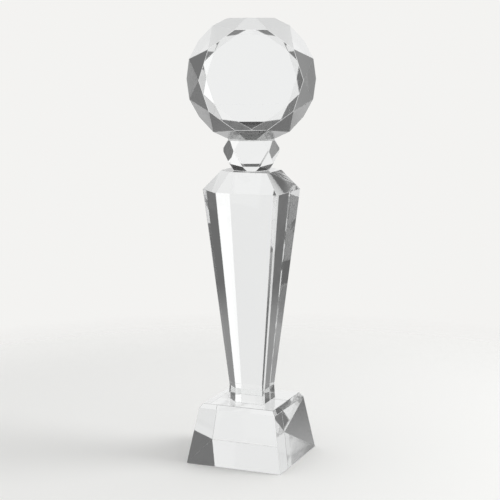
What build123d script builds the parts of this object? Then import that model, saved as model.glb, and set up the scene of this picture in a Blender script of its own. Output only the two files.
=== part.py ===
from build123d import *
from math import cos, radians, sin, sqrt
import os

# Crystal award: a tapered base block, a column that widens upwards, a cut bead and a faceted ball,
# stacked on one upright axis and bonded with clear adhesive. Millimetres, +Z up, the front is -Y,
# and the origin is the centre of the underside.

# Base block: a square frustum with one bevel round its top edge.
BASE_FOOT_WIDTH = 63.0
BASE_RIM_WIDTH = 51.0
BASE_RIM_HEIGHT = 34.7
BASE_BEVEL_INSET = 2.1
BASE_BEVEL_HEIGHT = 2.8

# Column: a square section with its front right edge left sharp and the other corners cut off.
COLUMN_FOOT_WIDTH = 27.0
COLUMN_WAIST_WIDTH = 26.0
COLUMN_SHOULDER_WIDTH = 55.4
COLUMN_TOP_WIDTH = 34.0
COLUMN_FOOT_HEIGHT = 8.8
COLUMN_SHAFT_HEIGHT = 124.7
COLUMN_SHOULDER_HEIGHT = 11.9
SIDE_CORNER_CUT = 0.28           # leg of the two side corner cuts, as a share of the width
REAR_CORNER_CUT = 0.18           # leg of the rear corner cut, as a share of the width

# The bead and the ball are cut round a level axis and turned a little from the front.
STONE_TURN = 22.0                # how far the table faces round from -Y towards +X, degrees

# Neck bead: six-fold, with blunted corners and a level flat above and below.
BEAD_RADIUS = 18.0
BEAD_FOLD = 6
BEAD_BLUNT_RADIUS = 17.3         # how far the blunted corners stand from the bead's own axis
BEAD_LOWER_FLAT = 12.4           # depth of the lower flat below the bead's centre
BEAD_UPPER_FLAT = 6.4            # height of the upper flat above the bead's centre

# Ball: ten-fold, with a level flat above and below. Its rear has one more row than its front.
BALL_RADIUS = 40.0
BALL_FOLD = 10
BALL_GIRDLE = 6.4                # width of the zigzag band round the ball's waist
BALL_FLAT = 36.8                 # how far each level flat lies from the ball's centre

# Clear adhesive between two bonded faces.
BOND_THICKNESS = 0.15


def square_frustum(lower_width, upper_width, bottom, top):
    """A square block that tapers evenly from one width to another."""
    lower = Plane.XY.offset(bottom) * Rectangle(lower_width, lower_width)
    upper = Plane.XY.offset(top) * Rectangle(upper_width, upper_width)
    return loft([lower.face(), upper.face()], ruled=True)


def column_outline(width):
    """The column's section: a square that keeps only its front right corner."""
    half = width / 2
    side_cut = SIDE_CORNER_CUT * width
    rear_cut = REAR_CORNER_CUT * width
    return Polygon(
        (half, -half),
        (half, half - side_cut),
        (half - side_cut, half),
        (rear_cut - half, half),
        (-half, half - rear_cut),
        (-half, side_cut - half),
        (side_cut - half, -half),
        align=None,
    )


def column_stage(lower_width, upper_width, bottom, top):
    """One straight run of the column between two sections."""
    lower = Plane.XY.offset(bottom) * column_outline(lower_width)
    upper = Plane.XY.offset(top) * column_outline(upper_width)
    return loft([lower.face(), upper.face()], ruled=True)


def next_corner(fold, below, beside):
    """Where the plane of a kite facet meets the sphere again.

    The kite stands on the corner below, and passes through the two corners beside it, half a step
    away on each side. Corners are (radius, height) pairs about the stone's axis.
    """
    inward = below[0] - beside[0] * cos(radians(180 / fold))
    rise = beside[1] - below[1]
    reach = 2 * (below[0] * inward - below[1] * rise) / (inward**2 + rise**2)
    return below[0] - reach * inward, below[1] + reach * rise


def sloping_plane(lower, upper, angle, side):
    """The facet plane through two corners at one angle round Z, in front (1) or behind (-1)."""
    rise = upper[1] - lower[1]
    run = lower[0] - upper[0]
    outward = Vector(cos(radians(angle)), sin(radians(angle)), 0)
    normal = outward * rise + Vector(0, 0, side * run)
    return Plane(outward * lower[0] + Vector(0, 0, side * lower[1]), z_dir=normal)


def cut_stone(radius, fold, front, rear, rear_turn, level_flats):
    """A stone whose table faces the front, with level flats; its centre is the origin.

    The front and the rear are each (distance of their flat, facets), a facet is (angle, lower
    corner, upper corner) and repeats round the axis, and the level flats are (lower, upper).
    """
    front_flat, front_facets = front
    rear_flat, rear_facets = rear
    blank = Box(2 * radius, 2 * radius, front_flat + rear_flat)
    stone = Pos(0, 0, (front_flat - rear_flat) / 2) * blank
    for index in range(fold):
        for side, turn, facets in ((1, 0, front_facets), (-1, rear_turn, rear_facets)):
            for angle, lower, upper in facets:
                plane = sloping_plane(lower, upper, angle + turn + index * 360 / fold, side)
                stone = split(stone, bisect_by=plane, keep=Keep.BOTTOM)
    lower_flat, upper_flat = level_flats
    upright = Rot(0, 0, STONE_TURN) * Rot(90, 0, 0) * stone
    upright = split(upright, bisect_by=Plane.XY.offset(upper_flat), keep=Keep.BOTTOM)
    return split(upright, bisect_by=Plane.XY.offset(-lower_flat), keep=Keep.TOP)


def edge_of(corner, fold):
    """The middle of the straight edge between two neighbouring corners of one ring."""
    return corner[0] * cos(radians(180 / fold)), corner[1]


def neck_bead():
    """Kites from the waist to the table, stars between them, and a blunted corner at each kite."""
    half_step = 180 / BEAD_FOLD
    waist = (BEAD_RADIUS, 0)
    middle = (edge_of(waist, BEAD_FOLD)[0], BEAD_RADIUS * sin(radians(half_step)))
    table = next_corner(BEAD_FOLD, waist, middle)
    facets = [
        (0, waist, table),
        (0, (BEAD_BLUNT_RADIUS, 0), (BEAD_BLUNT_RADIUS, table[1])),
        (half_step, edge_of(waist, BEAD_FOLD), middle),
        (half_step, middle, edge_of(table, BEAD_FOLD)),
    ]
    half = (table[1], facets)
    return cut_stone(BEAD_RADIUS, BEAD_FOLD, half, half, 0, (BEAD_LOWER_FLAT, BEAD_UPPER_FLAT))


def faceted_ball():
    """Kites that interlock across the waist, a large table in front, and one more row behind."""
    half_step = 180 / BALL_FOLD
    ring_radius = sqrt(BALL_RADIUS**2 - (BALL_GIRDLE / 2) ** 2)
    before_waist = (ring_radius, BALL_GIRDLE / 2)
    behind_waist = (ring_radius, -BALL_GIRDLE / 2)
    first = next_corner(BALL_FOLD, behind_waist, before_waist)
    second = next_corner(BALL_FOLD, before_waist, first)
    waist_kite = (0, behind_waist, first)
    front = [waist_kite, (half_step, before_waist, edge_of(first, BALL_FOLD))]
    rear = [
        waist_kite,
        (half_step, before_waist, second),
        (0, first, edge_of(second, BALL_FOLD)),
    ]
    front_half = (first[1], front)
    rear_half = (second[1], rear)
    level_flats = (BALL_FLAT, BALL_FLAT)
    return cut_stone(BALL_RADIUS, BALL_FOLD, front_half, rear_half, half_step, level_flats)


def base_block():
    """The tapered block that the award stands on."""
    rim_to_top = BASE_RIM_HEIGHT + BASE_BEVEL_HEIGHT
    top_width = BASE_RIM_WIDTH - 2 * BASE_BEVEL_INSET
    body = square_frustum(BASE_FOOT_WIDTH, BASE_RIM_WIDTH, 0, BASE_RIM_HEIGHT)
    return body + square_frustum(BASE_RIM_WIDTH, top_width, BASE_RIM_HEIGHT, rim_to_top)


def column(bottom):
    """The column: a slightly flared foot, a shaft that widens upwards, and a sloping shoulder."""
    waist = bottom + COLUMN_FOOT_HEIGHT
    shoulder = waist + COLUMN_SHAFT_HEIGHT
    top = shoulder + COLUMN_SHOULDER_HEIGHT
    foot = column_stage(COLUMN_FOOT_WIDTH, COLUMN_WAIST_WIDTH, bottom, waist)
    shaft = column_stage(COLUMN_WAIST_WIDTH, COLUMN_SHOULDER_WIDTH, waist, shoulder)
    return foot + shaft + column_stage(COLUMN_SHOULDER_WIDTH, COLUMN_TOP_WIDTH, shoulder, top)


def bond_between(lower_part, upper_part):
    """The adhesive film that fills the gap where two level faces look at each other."""
    lower_face = lower_part.faces().sort_by(Axis.Z)[-1]
    upper_face = upper_part.faces().sort_by(Axis.Z)[0]
    from_below = extrude(lower_face, BOND_THICKNESS, dir=(0, 0, 1))
    from_above = extrude(upper_face, BOND_THICKNESS, dir=(0, 0, -1))
    return from_below & from_above


def top_of(part):
    return part.bounding_box().max.Z


def award():
    """Every piece in its place, from the bottom up, by node name."""
    pieces = {"base_block": base_block()}
    pieces["column"] = column(top_of(pieces["base_block"]) + BOND_THICKNESS)

    bead_height = top_of(pieces["column"]) + BOND_THICKNESS + BEAD_LOWER_FLAT
    pieces["neck_bead"] = Pos(0, 0, bead_height) * neck_bead()

    ball_height = top_of(pieces["neck_bead"]) + BOND_THICKNESS + BALL_FLAT
    pieces["faceted_ball"] = Pos(0, 0, ball_height) * faceted_ball()

    pieces["base_bond"] = bond_between(pieces["base_block"], pieces["column"])
    pieces["neck_bond"] = bond_between(pieces["column"], pieces["neck_bead"])
    pieces["ball_bond"] = bond_between(pieces["neck_bead"], pieces["faceted_ball"])
    return pieces


os.makedirs("parts", exist_ok=True)
for name, piece in award().items():
    export_step(piece, f"parts/{name}.step")
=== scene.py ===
import math

import bmesh
import bpy
from mathutils import Matrix, Vector


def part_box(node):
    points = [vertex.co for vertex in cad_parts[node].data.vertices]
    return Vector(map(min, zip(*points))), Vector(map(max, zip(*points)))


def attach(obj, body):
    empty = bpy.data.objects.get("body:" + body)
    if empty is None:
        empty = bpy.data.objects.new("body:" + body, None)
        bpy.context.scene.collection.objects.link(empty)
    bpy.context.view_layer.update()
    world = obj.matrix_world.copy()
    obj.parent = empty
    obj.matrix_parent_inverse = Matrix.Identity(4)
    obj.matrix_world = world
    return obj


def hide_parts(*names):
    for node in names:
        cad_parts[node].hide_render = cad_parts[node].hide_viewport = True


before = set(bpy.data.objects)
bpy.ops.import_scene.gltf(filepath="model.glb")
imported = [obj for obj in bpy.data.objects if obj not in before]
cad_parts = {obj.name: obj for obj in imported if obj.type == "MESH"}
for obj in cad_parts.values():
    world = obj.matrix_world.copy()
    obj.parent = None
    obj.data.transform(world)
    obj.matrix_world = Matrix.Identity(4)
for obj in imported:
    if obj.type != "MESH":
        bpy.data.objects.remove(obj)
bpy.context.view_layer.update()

# ---------------------------------------------------------------------------------------------
# The view: a long lens a little under a metre away, as high as the ball and tipped down a little,
# standing to the right of the award's front so that its right side just shows.
VIEW_TURN = math.radians(22.34)
VIEW_DISTANCE = 0.8388
VIEW_HEIGHT = 0.2690
VIEW_DOWN = math.radians(9.23)
VIEW_ASIDE = math.radians(-0.07)
VIEW_LEAN = math.radians(0.14)
LENS_WIDTH_RATIO = 2.718         # focal length as a share of the film's width
FILM_WIDTH = 36.0


def stand_camera():
    data = bpy.data.cameras.new("long_lens")
    data.sensor_width = FILM_WIDTH
    data.lens = LENS_WIDTH_RATIO * FILM_WIDTH
    camera = bpy.data.objects.new("camera", data)
    bpy.context.scene.collection.objects.link(camera)
    level = Matrix.Rotation(math.radians(90) - VIEW_DOWN, 4, "X")
    lean = Matrix.Rotation(-VIEW_LEAN, 4, "Z")
    aside = Matrix.Rotation(VIEW_TURN - VIEW_ASIDE, 4, "Z")
    stand = Vector((math.sin(VIEW_TURN), -math.cos(VIEW_TURN), 0)) * VIEW_DISTANCE
    stand.z = VIEW_HEIGHT
    camera.matrix_world = Matrix.Translation(stand) @ aside @ level @ lean
    bpy.context.scene.camera = camera


stand_camera()

# ---------------------------------------------------------------------------------------------
# Base block: a tapered square block of clear optical crystal, sawn from bar, ground, and polished
# on felt. Its edges carry a hair-wide ground arris so that they don't chip.
MILLIMETRE = 0.001
ARRIS_WIDTH = 0.16 * MILLIMETRE
SAME_PLANE = math.radians(0.5)
WELD = 0.001 * MILLIMETRE
CRYSTAL_IOR = 1.52
CRYSTAL_TINT = (0.985, 0.992, 0.988, 1.0)
ARRIS = 1                        # each piece's second material


def polish_group():
    """What the felt leaves: hazy smears, hairline scratches, and the slow ripple of a hand polish."""
    group = bpy.data.node_groups.new("felt_polish", "ShaderNodeTree")
    face = group.interface
    for name, value in (("Haze", 0.006), ("Smear Size", 30.0), ("Scratch Size", 220.0), ("Ripple", 0.35)):
        face.new_socket(name, in_out="INPUT", socket_type="NodeSocketFloat").default_value = value
    face.new_socket("Roughness", in_out="OUTPUT", socket_type="NodeSocketFloat")
    face.new_socket("Height", in_out="OUTPUT", socket_type="NodeSocketFloat")
    nodes, links = group.nodes, group.links
    given = nodes.new("NodeGroupInput")
    result = nodes.new("NodeGroupOutput")
    place = nodes.new("ShaderNodeTexCoord")

    def noise(size, detail, stretch=(1.0, 1.0, 1.0)):
        spread = nodes.new("ShaderNodeMapping")
        spread.inputs["Scale"].default_value = stretch
        spread.inputs["Rotation"].default_value = (0.4, 0.7, 0.2)
        links.new(place.outputs["Object"], spread.inputs["Vector"])
        texture = nodes.new("ShaderNodeTexNoise")
        texture.inputs["Detail"].default_value = detail
        links.new(spread.outputs["Vector"], texture.inputs["Vector"])
        links.new(size, texture.inputs["Scale"])
        return texture.outputs["Fac"]

    def mapped(value, start, end, after):
        node = nodes.new("ShaderNodeMapRange")
        node.inputs["From Min"].default_value = start
        node.inputs["From Max"].default_value = end
        links.new(value, node.inputs["Value"])
        links.new(after, node.inputs["To Max"])
        return node.outputs["Result"]

    smears = mapped(noise(given.outputs["Smear Size"], 3.0), 0.48, 0.80, given.outputs["Haze"])
    scratches = noise(given.outputs["Scratch Size"], 4.0, stretch=(1.0, 14.0, 14.0))
    scuffs = mapped(scratches, 0.66, 0.78, given.outputs["Haze"])
    haze = nodes.new("ShaderNodeMath")
    haze.operation = "ADD"
    links.new(smears, haze.inputs[0])
    links.new(scuffs, haze.inputs[1])
    links.new(haze.outputs["Value"], result.inputs["Roughness"])

    relief = nodes.new("ShaderNodeMath")
    relief.operation = "MULTIPLY_ADD"
    links.new(noise(given.outputs["Smear Size"], 1.0), relief.inputs[0])
    links.new(given.outputs["Ripple"], relief.inputs[1])
    links.new(scratches, relief.inputs[2])
    links.new(relief.outputs["Value"], result.inputs["Height"])
    return group


felt_polish = polish_group()
POLISH_RELIEF = 0.0016 * MILLIMETRE      # depth of the scratches and ripple together
ARRIS_RELIEF = 0.02 * MILLIMETRE         # depth of the wheel's grain


def clear_crystal(name):
    """A plain clear material, given as the material, its nodes and its links."""
    material = bpy.data.materials.new(name)
    material.use_nodes = True
    nodes, links = material.node_tree.nodes, material.node_tree.links
    shader = nodes["Principled BSDF"]
    shader.inputs["Base Color"].default_value = CRYSTAL_TINT
    shader.inputs["Transmission Weight"].default_value = 1.0
    shader.inputs["IOR"].default_value = CRYSTAL_IOR
    shader.inputs["Roughness"].default_value = 0.0
    return material, nodes, links


def add_relief(nodes, links, height, depth):
    """Presses a height texture into the surface."""
    bump = nodes.new("ShaderNodeBump")
    bump.inputs["Strength"].default_value = 1.0
    bump.inputs["Distance"].default_value = depth
    links.new(height, bump.inputs["Height"])
    links.new(bump.outputs["Normal"], nodes["Principled BSDF"].inputs["Normal"])


def crystal_material(name, haze, scratch_size):
    """Clear optical crystal with a felt polish."""
    material, nodes, links = clear_crystal(name)
    polish = nodes.new("ShaderNodeGroup")
    polish.node_tree = felt_polish
    polish.inputs["Haze"].default_value = haze
    polish.inputs["Scratch Size"].default_value = scratch_size
    links.new(polish.outputs["Roughness"], nodes["Principled BSDF"].inputs["Roughness"])
    add_relief(nodes, links, polish.outputs["Height"], POLISH_RELIEF)
    return material


def arris_material():
    """The ground corner: the same crystal left satin by the wheel, with tiny chips along it."""
    material, nodes, links = clear_crystal("ground_arris")
    place = nodes.new("ShaderNodeTexCoord")
    grain = nodes.new("ShaderNodeTexNoise")
    grain.inputs["Scale"].default_value = 2500.0
    grain.inputs["Detail"].default_value = 3.0
    links.new(place.outputs["Object"], grain.inputs["Vector"])
    chips = nodes.new("ShaderNodeMapRange")
    chips.inputs["From Min"].default_value = 0.35
    chips.inputs["From Max"].default_value = 0.75
    chips.inputs["To Min"].default_value = 0.12
    chips.inputs["To Max"].default_value = 0.45
    links.new(grain.outputs["Fac"], chips.inputs["Value"])
    links.new(chips.outputs["Result"], nodes["Principled BSDF"].inputs["Roughness"])
    add_relief(nodes, links, grain.outputs["Fac"], ARRIS_RELIEF)
    return material


ground_arris = arris_material()


def cut_crystal(name, mesh, polish):
    """A polished piece with ground arrises, from its plain facets, standing for one CAD node."""
    shape = bmesh.new()
    shape.from_mesh(mesh)
    bmesh.ops.remove_doubles(shape, verts=shape.verts, dist=WELD)
    bmesh.ops.dissolve_limit(shape, angle_limit=SAME_PLANE, verts=shape.verts, edges=shape.edges)
    bmesh.ops.recalc_face_normals(shape, faces=shape.faces)
    bmesh.ops.bevel(shape, geom=shape.edges[:], offset=ARRIS_WIDTH, segments=1, affect="EDGES",
                    clamp_overlap=True, material=ARRIS)
    result = bpy.data.meshes.new(name)
    shape.to_mesh(result)
    shape.free()
    for material in (polish, ground_arris):
        result.materials.append(material)
    piece = bpy.data.objects.new(name, result)
    bpy.context.scene.collection.objects.link(piece)
    return piece


base_polish = crystal_material("base_polish", haze=0.008, scratch_size=260.0)
base = cut_crystal("base_block_crystal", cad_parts["base_block"].data, base_polish)
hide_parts("base_block")
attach(base, "root")

# ---------------------------------------------------------------------------------------------
# Column: a seven-sided bar of the same crystal that widens upwards, cut from one block. Its foot
# is flared a little and its shoulder slopes in to the flat that carries the bead.
column_polish = crystal_material("column_polish", haze=0.006, scratch_size=200.0)
column = cut_crystal("column_crystal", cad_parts["column"].data, column_polish)
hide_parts("column")
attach(column, "root")

# ---------------------------------------------------------------------------------------------
# Cut stones: the bead and the ball are ground on a dop round a level axis. A flat table faces
# front and back, rings of facets join them, and a level flat is ground where each is bonded.
STONE_TURN = math.radians(22.0)


def feed(links, socket, value):
    """Sets a socket to a number, or links another node's output to it."""
    if isinstance(value, (int, float)):
        socket.default_value = value
    else:
        links.new(value, socket)


def calculator(nodes, links):
    """A function that adds a Math node to one tree for each calculation."""
    def calculate(operation, *values):
        node = nodes.new("ShaderNodeMath")
        node.operation = operation
        for socket, value in zip(node.inputs, values):
            feed(links, socket, value)
        return node.outputs["Value"]

    return calculate


def stone_tree():
    """Rings of corners wrapped in flat facets, blunted at the waist, stood upright, ground level."""
    tree = bpy.data.node_groups.new("cut_stone", "GeometryNodeTree")
    face = tree.interface
    face.new_socket("Geometry", in_out="INPUT", socket_type="NodeSocketGeometry")
    for name in ("Table Radius", "Table Height", "Middle Radius", "Middle Height", "Waist Radius",
                 "Second Radius", "Second Height", "Rear Flat", "Blunt Radius", "Rear Turn", "Turn",
                 "Centre Height", "Ground Bottom", "Ground Top"):
        face.new_socket(name, in_out="INPUT", socket_type="NodeSocketFloat")
    face.new_socket("Fold", in_out="INPUT", socket_type="NodeSocketInt")
    face.new_socket("Polish", in_out="INPUT", socket_type="NodeSocketMaterial")
    face.new_socket("Geometry", in_out="OUTPUT", socket_type="NodeSocketGeometry")
    nodes, links = tree.nodes, tree.links
    given = nodes.new("NodeGroupInput").outputs
    calculate = calculator(nodes, links)

    def vector(**parts):
        node = nodes.new("ShaderNodeCombineXYZ")
        for axis, value in parts.items():
            feed(links, node.inputs[axis], value)
        return node.outputs["Vector"]

    def moved(geometry, translation=None, rotation=None):
        node = nodes.new("GeometryNodeTransform")
        links.new(geometry, node.inputs["Geometry"])
        if translation is not None:
            links.new(translation, node.inputs["Translation"])
        if rotation is not None:
            links.new(rotation, node.inputs["Rotation"])
        return node.outputs["Geometry"]

    half_step = calculate("DIVIDE", math.pi, given["Fold"])

    def ring(radius, height, turn):
        circle = nodes.new("GeometryNodeMeshCircle")
        links.new(given["Fold"], circle.inputs["Vertices"])
        links.new(radius, circle.inputs["Radius"])
        return moved(circle.outputs["Mesh"], vector(Z=height), vector(Z=turn))

    def both(operation, first, second):
        node = nodes.new("GeometryNodeMeshBoolean")
        node.operation = operation
        links.new(first, node.inputs["Mesh 2"])
        links.new(second, node.inputs["Mesh 2"])
        return node.outputs["Mesh"]

    corners = nodes.new("GeometryNodeJoinGeometry")
    for side, turn in ((1.0, 0.0), (-1.0, given["Rear Turn"])):
        table_height = calculate("MULTIPLY", given["Table Height"], side)
        middle_height = calculate("MULTIPLY", given["Middle Height"], side)
        middle_turn = calculate("ADD", half_step, turn)
        links.new(ring(given["Table Radius"], table_height, turn), corners.inputs["Geometry"])
        links.new(ring(given["Middle Radius"], middle_height, middle_turn), corners.inputs["Geometry"])
    links.new(ring(given["Waist Radius"], 0.0, 0.0), corners.inputs["Geometry"])
    second_height = calculate("MULTIPLY", given["Second Height"], -1.0)
    second_turn = calculate("ADD", half_step, given["Rear Turn"])
    links.new(ring(given["Second Radius"], second_height, second_turn), corners.inputs["Geometry"])
    facets = nodes.new("GeometryNodeConvexHull")
    links.new(corners.outputs["Geometry"], facets.inputs["Geometry"])

    wheel = nodes.new("GeometryNodeMeshCylinder")
    links.new(given["Fold"], wheel.inputs["Vertices"])
    corner_reach = calculate("DIVIDE", given["Blunt Radius"], calculate("COSINE", half_step))
    links.new(corner_reach, wheel.inputs["Radius"])
    doubled = calculate("MULTIPLY", given["Blunt Radius"], 2.0)
    links.new(doubled, wheel.inputs["Depth"])
    reach = calculate("SUBTRACT", given["Blunt Radius"], given["Rear Flat"])
    blunt = moved(wheel.outputs["Mesh"], vector(Z=reach), vector(Z=half_step))
    blunted = both("INTERSECT", facets.outputs["Convex Hull"], blunt)

    upright = moved(blunted, rotation=vector(X=math.radians(90)))
    turned = moved(upright, vector(Z=given["Centre Height"]), vector(Z=given["Turn"]))

    block = nodes.new("GeometryNodeMeshCube")
    depth = calculate("SUBTRACT", given["Ground Top"], given["Ground Bottom"])
    links.new(vector(X=doubled, Y=doubled, Z=depth), block.inputs["Size"])
    middle = calculate("MULTIPLY", calculate("ADD", given["Ground Top"], given["Ground Bottom"]), 0.5)
    ground = both("INTERSECT", turned, moved(block.outputs["Mesh"], vector(Z=middle)))

    real = nodes.new("GeometryNodeRealizeInstances")
    links.new(ground, real.inputs["Geometry"])
    coat = nodes.new("GeometryNodeSetMaterial")
    links.new(real.outputs["Geometry"], coat.inputs["Geometry"])
    links.new(given["Polish"], coat.inputs["Material"])
    result = nodes.new("NodeGroupOutput")
    links.new(coat.outputs["Geometry"], result.inputs["Geometry"])
    return tree


cut_stone = stone_tree()


def next_corner(fold, below, beside):
    """Where a kite's plane meets the sphere again, from its lower corner and a side corner."""
    inward = below[0] - beside[0] * math.cos(math.pi / fold)
    rise = beside[1] - below[1]
    reach = 2 * (below[0] * inward - below[1] * rise) / (inward**2 + rise**2)
    return below[0] - reach * inward, below[1] + reach * rise


def grind_stone(node, polish, lower_flat, fold, table, middle, **sizes):
    """One stone from the tree, as a plain mesh, between the CAD node's lowest and highest points."""
    low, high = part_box(node)
    blank = bpy.data.objects.new(node + "_blank", bpy.data.meshes.new(node + "_blank"))
    bpy.context.scene.collection.objects.link(blank)
    given = {"Table Radius": table[0], "Table Height": table[1], "Middle Radius": middle[0],
             "Middle Height": middle[1], "Turn": STONE_TURN, "Centre Height": low[2] + lower_flat,
             "Ground Bottom": low[2], "Ground Top": high[2], "Fold": fold, "Polish": polish}
    given.update({name.replace("_", " ").title(): size for name, size in sizes.items()})
    modifier = blank.modifiers.new("cut_stone", "NODES")
    modifier.node_group = cut_stone
    for item in cut_stone.interface.items_tree:
        if item.in_out == "INPUT" and item.name in given:
            modifier[item.identifier] = given[item.name]
    evaluated = blank.evaluated_get(bpy.context.evaluated_depsgraph_get())
    mesh = bpy.data.meshes.new_from_object(evaluated)
    bpy.data.objects.remove(blank)
    return mesh


# ---------------------------------------------------------------------------------------------
# Neck bead: a six-fold stone. Kites run from its waist to its tables with stars between them, and
# the six sharp corners of its waist are blunted on the wheel.
BEAD_RADIUS = 18.0 * MILLIMETRE
BEAD_FOLD = 6
BEAD_BLUNT_RADIUS = 17.3 * MILLIMETRE
BEAD_LOWER_FLAT = 12.4 * MILLIMETRE

bead_half_step = math.pi / BEAD_FOLD
bead_middle = (BEAD_RADIUS * math.cos(bead_half_step), BEAD_RADIUS * math.sin(bead_half_step))
bead_table = next_corner(BEAD_FOLD, (BEAD_RADIUS, 0), bead_middle)
bead_polish = crystal_material("bead_polish", haze=0.003, scratch_size=420.0)
bead_mesh = grind_stone("neck_bead", bead_polish, BEAD_LOWER_FLAT, BEAD_FOLD, bead_table, bead_middle,
                        waist_radius=BEAD_RADIUS, blunt_radius=BEAD_BLUNT_RADIUS, rear_turn=0.0,
                        rear_flat=bead_table[1], second_radius=0.0, second_height=0.0)
bead = cut_crystal("neck_bead_crystal", bead_mesh, bead_polish)
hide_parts("neck_bead")
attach(bead, "root")

# ---------------------------------------------------------------------------------------------
# Ball: a ten-fold stone. Its kites interlock in a zigzag round the waist, a triangle runs to them
# from each edge of the front table, and the back has one more row before its own flat. Level flats
# are ground above and below.
BALL_RADIUS = 40.0 * MILLIMETRE
BALL_FOLD = 10
BALL_GIRDLE = 6.4 * MILLIMETRE
BALL_FLAT = 36.8 * MILLIMETRE
BALL_BLUNT_RADIUS = 44.0 * MILLIMETRE    # past the ball, whose corners stay sharp

ball_ring_radius = math.sqrt(BALL_RADIUS**2 - (BALL_GIRDLE / 2) ** 2)
before_waist = (ball_ring_radius, BALL_GIRDLE / 2)
behind_waist = (ball_ring_radius, -BALL_GIRDLE / 2)
ball_table = next_corner(BALL_FOLD, behind_waist, before_waist)
second_ring = next_corner(BALL_FOLD, before_waist, ball_table)
ball_polish = crystal_material("ball_polish", haze=0.003, scratch_size=300.0)
ball_mesh = grind_stone("faceted_ball", ball_polish, BALL_FLAT, BALL_FOLD, ball_table, before_waist,
                        waist_radius=0.0, blunt_radius=BALL_BLUNT_RADIUS,
                        rear_turn=math.pi / BALL_FOLD, rear_flat=second_ring[1],
                        second_radius=second_ring[0], second_height=second_ring[1])
ball = cut_crystal("faceted_ball_crystal", ball_mesh, ball_polish)
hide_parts("faceted_ball")
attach(ball, "root")

# ---------------------------------------------------------------------------------------------
# Adhesive: three films of clear resin, cured under an ultraviolet lamp. Each fills the joint from
# crystal to crystal, so only its rim can be seen.
RESIN_IOR = 1.48
RIM_RELIEF = 0.03 * MILLIMETRE
FILM_CLEARANCE = 0.01 * MILLIMETRE       # keeps each film's faces from lying in the crystal's own


def rim_material():
    """The film's rim, cloudy in places where it met the air and caught dust as it cured."""
    material, nodes, links = clear_crystal("resin_rim")
    shader = nodes["Principled BSDF"]
    shader.inputs["IOR"].default_value = RESIN_IOR
    place = nodes.new("ShaderNodeTexCoord")
    beads = nodes.new("ShaderNodeTexNoise")
    beads.inputs["Scale"].default_value = 700.0
    beads.inputs["Detail"].default_value = 2.0
    links.new(place.outputs["Object"], beads.inputs["Vector"])
    cloud = nodes.new("ShaderNodeMapRange")
    cloud.inputs["From Min"].default_value = 0.35
    cloud.inputs["From Max"].default_value = 0.70
    cloud.inputs["To Min"].default_value = 0.15
    cloud.inputs["To Max"].default_value = 0.55
    links.new(beads.outputs["Fac"], cloud.inputs["Value"])
    links.new(cloud.outputs["Result"], shader.inputs["Roughness"])
    add_relief(nodes, links, beads.outputs["Fac"], RIM_RELIEF)
    return material


def film_face_material():
    """The film's two faces: light goes straight on, so that only the crystal's own polish shows."""
    material, nodes, _ = clear_crystal("film_face")
    nodes["Principled BSDF"].inputs["Base Color"].default_value = (1.0, 1.0, 1.0, 1.0)
    nodes["Principled BSDF"].inputs["IOR"].default_value = 1.0
    return material


resin_rim = rim_material()
film_face = film_face_material()


def film_outline(film_node):
    """The corners of an adhesive film, in order round it, and its lower and upper heights."""
    low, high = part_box(film_node)
    corners = {(round(v.co.x, 6), round(v.co.y, 6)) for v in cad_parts[film_node].data.vertices}
    ordered = sorted(corners, key=lambda c: math.atan2(c[1], c[0]))
    return [Vector((x, y, 0)) for x, y in ordered], low[2], high[2]


def cure_film(film_node):
    outline, low, high = film_outline(film_node)
    shape = bmesh.new()
    lower = [shape.verts.new((c.x, c.y, low + FILM_CLEARANCE)) for c in outline]
    upper = [shape.verts.new((c.x, c.y, high - FILM_CLEARANCE)) for c in outline]
    shape.faces.new(reversed(lower)).material_index = 1
    shape.faces.new(upper).material_index = 1
    for index in range(len(outline)):
        following = (index + 1) % len(outline)
        shape.faces.new((lower[index], lower[following], upper[following], upper[index]))
    mesh = bpy.data.meshes.new(film_node + "_film")
    shape.to_mesh(mesh)
    shape.free()
    mesh.materials.append(resin_rim)
    mesh.materials.append(film_face)
    film = bpy.data.objects.new(film_node + "_film", mesh)
    bpy.context.scene.collection.objects.link(film)
    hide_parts(film_node)
    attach(film, "root")


for film_node in ("base_bond", "neck_bond", "ball_bond"):
    cure_film(film_node)

# ---------------------------------------------------------------------------------------------
# The studio: white paper under the award, a lit backdrop behind it, a grey room with low windows at
# its sides and behind the camera, and one soft lamp high on its right. The glass sees all of that by
# direction, while the lens and the paper see an even white.
PAPER_RADIUS = 0.45
PAPER_SOLID_RADIUS = 0.24
PAPER_GAP = 0.1 * MILLIMETRE     # the air left under the polished base
PAPER_WHITE = (0.88, 0.88, 0.865, 1.0)


def lay_paper():
    material = bpy.data.materials.new("paper")
    material.use_nodes = True
    nodes, links = material.node_tree.nodes, material.node_tree.links
    shader = nodes["Principled BSDF"]
    shader.inputs["Base Color"].default_value = PAPER_WHITE
    shader.inputs["Roughness"].default_value = 0.9
    place = nodes.new("ShaderNodeTexCoord")
    reach = nodes.new("ShaderNodeVectorMath")
    reach.operation = "LENGTH"
    links.new(place.outputs["Object"], reach.inputs[0])
    fade = nodes.new("ShaderNodeMapRange")
    fade.interpolation_type = "SMOOTHSTEP"
    fade.inputs["From Min"].default_value = PAPER_SOLID_RADIUS
    fade.inputs["From Max"].default_value = PAPER_RADIUS
    fade.inputs["To Min"].default_value = 1.0
    fade.inputs["To Max"].default_value = 0.0
    links.new(reach.outputs["Value"], fade.inputs["Value"])
    links.new(fade.outputs["Result"], shader.inputs["Alpha"])
    shape = bmesh.new()
    bmesh.ops.create_circle(shape, cap_ends=True, segments=128, radius=PAPER_RADIUS)
    mesh = bpy.data.meshes.new("paper")
    shape.to_mesh(mesh)
    shape.free()
    mesh.materials.append(material)
    mesh.transform(Matrix.Translation((0, 0, -PAPER_GAP)))
    paper = bpy.data.objects.new("paper", mesh)
    bpy.context.scene.collection.objects.link(paper)
    paper.visible_transmission = False
    paper.visible_glossy = False


lay_paper()

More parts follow.
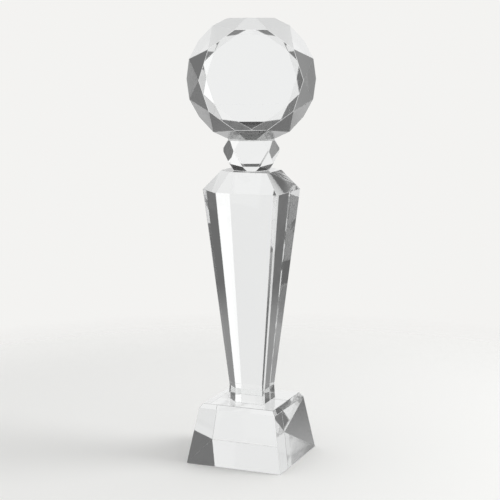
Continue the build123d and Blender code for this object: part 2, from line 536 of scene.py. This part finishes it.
# Degrees: bearings are from straight behind the award, to its right, and rises are above level.
BACKDROP_HALF_WIDTH = 31.0
BACKDROP_RISE = (-20.0, 21.0)
BACKDROP_GLOW = 0.87
LAMP_SIDE = (12.0, 26.0)         # the bearings over which the backdrop brightens
RIGHT_EDGE_GLOW = 0.22           # how much brighter it is on the lamp's side
SWEEP_FADE = (-16.0, -9.0)
SWEEP_GLOW = 0.90                # the paper that runs from the award to the backdrop
FLOOR_FADE = (-56.0, -46.0)      # the paper right round the award
TABLE_EDGE = -16.0
LIT_TABLE_BEARING = (-70.0, 120.0)
LIT_TABLE_GLOW = 0.82
UNLIT_TABLE_GLOW = 0.20
WALL_GLOW = 0.15
GAP_HALF_WIDTH = 34.0            # the dark gap over the backdrop
GAP_RISE = (20.0, 45.0)
GAP_GLOW = 0.04
CARD_BEARING = (-75.0, -42.0)    # a grey card left of the backdrop
CARD_TOP = (18.0, 22.0)
CARD_GLOW = 0.32
LIT_ROOM_BEARING = (105.0, 150.0)    # the room on the lamp's side of the camera
LIT_ROOM_FOOT = (-8.0, -4.0)
LIT_ROOM_GLOW = 0.65
ROOM_BEARING = (-150.0, -105.0)  # the upper part of the room on the other side
ROOM_FOOT = (32.0, 38.0)
ROOM_GLOW = 0.45
REAR_WINDOW_EDGE = (143.0, 147.0)
REAR_WINDOW_RISE = (-26.0, 13.0)
SIDE_WINDOW_BEARING = (58.0, 118.0)  # on both sides
SIDE_WINDOW_RISE = (-24.0, 6.0)
WINDOW_GLOW = 0.80
CEILING_FOOT = (45.0, 60.0)
CEILING_GLOW = 0.60
EDGE = 1.5                       # softness at each edge
SEEN_COLOUR = (0.900, 0.895, 0.880, 1.0)     # what the lens sees past the paper's edge
DIFFUSE_GLOW = 0.80              # the even light that falls on the paper from all round


def light_the_walls():
    world = bpy.data.worlds.new("studio")
    bpy.context.scene.world = world
    world.use_nodes = True
    nodes, links = world.node_tree.nodes, world.node_tree.links
    nodes.clear()
    calculate = calculator(nodes, links)

    def step(value, start, end, before=0.0, after=1.0):
        node = nodes.new("ShaderNodeMapRange")
        node.interpolation_type = "SMOOTHSTEP"
        node.inputs["From Min"].default_value = start
        node.inputs["From Max"].default_value = end
        node.inputs["To Min"].default_value = before
        node.inputs["To Max"].default_value = after
        links.new(value, node.inputs["Value"])
        return node.outputs["Result"]

    def between(value, low, high):
        """1 from low to high, and 0 outside them."""
        rising = step(value, low - EDGE, low + EDGE)
        return calculate("MULTIPLY", rising, step(value, high - EDGE, high + EDGE, 1.0, 0.0))

    def patch(across, up, glow):
        return calculate("MULTIPLY", calculate("MULTIPLY", across, up), glow)

    heading = nodes.new("ShaderNodeTexCoord")
    turned = nodes.new("ShaderNodeVectorRotate")
    turned.rotation_type = "Z_AXIS"
    turned.inputs["Angle"].default_value = -VIEW_TURN
    links.new(heading.outputs["Generated"], turned.inputs["Vector"])
    parts = nodes.new("ShaderNodeSeparateXYZ")
    links.new(turned.outputs["Vector"], parts.inputs["Vector"])
    turn = calculate("ARCTAN2", parts.outputs["X"], parts.outputs["Y"])
    bearing = calculate("DEGREES", turn)
    aside = calculate("ABSOLUTE", bearing)
    rise = calculate("DEGREES", calculate("ARCSINE", parts.outputs["Z"]))

    behind = between(aside, -BACKDROP_HALF_WIDTH, BACKDROP_HALF_WIDTH)
    backdrop = step(bearing, *LAMP_SIDE, BACKDROP_GLOW, BACKDROP_GLOW + RIGHT_EDGE_GLOW)
    on_table = step(rise, TABLE_EDGE - EDGE, TABLE_EDGE + EDGE, 1.0, 0.0)
    lit = [
        patch(behind, between(rise, *BACKDROP_RISE), backdrop),
        patch(behind, step(rise, *SWEEP_FADE, 1.0, 0.0), SWEEP_GLOW),
        patch(between(bearing, *LIT_TABLE_BEARING), on_table, LIT_TABLE_GLOW),
        patch(step(rise, *FLOOR_FADE, 1.0, 0.0), 1.0, SWEEP_GLOW),
        patch(on_table, 1.0, UNLIT_TABLE_GLOW),
        patch(step(rise, *CEILING_FOOT), 1.0, CEILING_GLOW),
        patch(between(bearing, *LIT_ROOM_BEARING), step(rise, *LIT_ROOM_FOOT), LIT_ROOM_GLOW),
        patch(between(bearing, *ROOM_BEARING), step(rise, *ROOM_FOOT), ROOM_GLOW),
        patch(step(aside, *REAR_WINDOW_EDGE), between(rise, *REAR_WINDOW_RISE), WINDOW_GLOW),
        patch(between(aside, *SIDE_WINDOW_BEARING), between(rise, *SIDE_WINDOW_RISE), WINDOW_GLOW),
        patch(between(bearing, *CARD_BEARING), step(rise, *CARD_TOP, 1.0, 0.0), CARD_GLOW),
    ]
    across_gap = between(aside, -GAP_HALF_WIDTH, GAP_HALF_WIDTH)
    over_backdrop = calculate("MULTIPLY", across_gap, between(rise, *GAP_RISE))
    walls = step(over_backdrop, 0.0, 1.0, WALL_GLOW, GAP_GLOW)
    for glow in lit:
        walls = calculate("MAXIMUM", walls, glow)

    path = nodes.new("ShaderNodeLightPath")

    def when(ray, before, colour):
        node = nodes.new("ShaderNodeMix")
        node.data_type = "RGBA"
        links.new(path.outputs[ray], node.inputs["Factor"])
        links.new(before, node.inputs[6])
        node.inputs[7].default_value = colour
        return node.outputs[2]

    even = when("Is Diffuse Ray", walls, (DIFFUSE_GLOW, DIFFUSE_GLOW, DIFFUSE_GLOW, 1.0))
    seen = when("Is Camera Ray", even, SEEN_COLOUR)
    light = nodes.new("ShaderNodeBackground")
    links.new(seen, light.inputs["Color"])
    result = nodes.new("ShaderNodeOutputWorld")
    links.new(light.outputs["Background"], result.inputs["Surface"])


LAMP_PLACE = Vector((0.74, 0.22, 0.65))
LAMP_AIM = Vector((0, 0, 0.03))
LAMP_WIDTH = 0.5
LAMP_WATTS = 3.7


def hang_lamp():
    data = bpy.data.lights.new("soft_lamp", "AREA")
    data.shape = "DISK"
    data.size = LAMP_WIDTH
    data.energy = LAMP_WATTS
    lamp = bpy.data.objects.new("soft_lamp", data)
    bpy.context.scene.collection.objects.link(lamp)
    lamp.location = LAMP_PLACE
    lamp.rotation_euler = (LAMP_PLACE - LAMP_AIM).to_track_quat("Z", "Y").to_euler()
    lamp.visible_glossy = False
    lamp.visible_transmission = False


light_the_walls()
hang_lamp()
bpy.context.scene.view_settings.view_transform = "Standard"
LIGHT_BOUNCES = 32               # light turns back many times inside the stones
cycles = bpy.context.scene.cycles
cycles.max_bounces = LIGHT_BOUNCES
cycles.transmission_bounces = LIGHT_BOUNCES
cycles.glossy_bounces = LIGHT_BOUNCES
cycles.transparent_max_bounces = LIGHT_BOUNCES
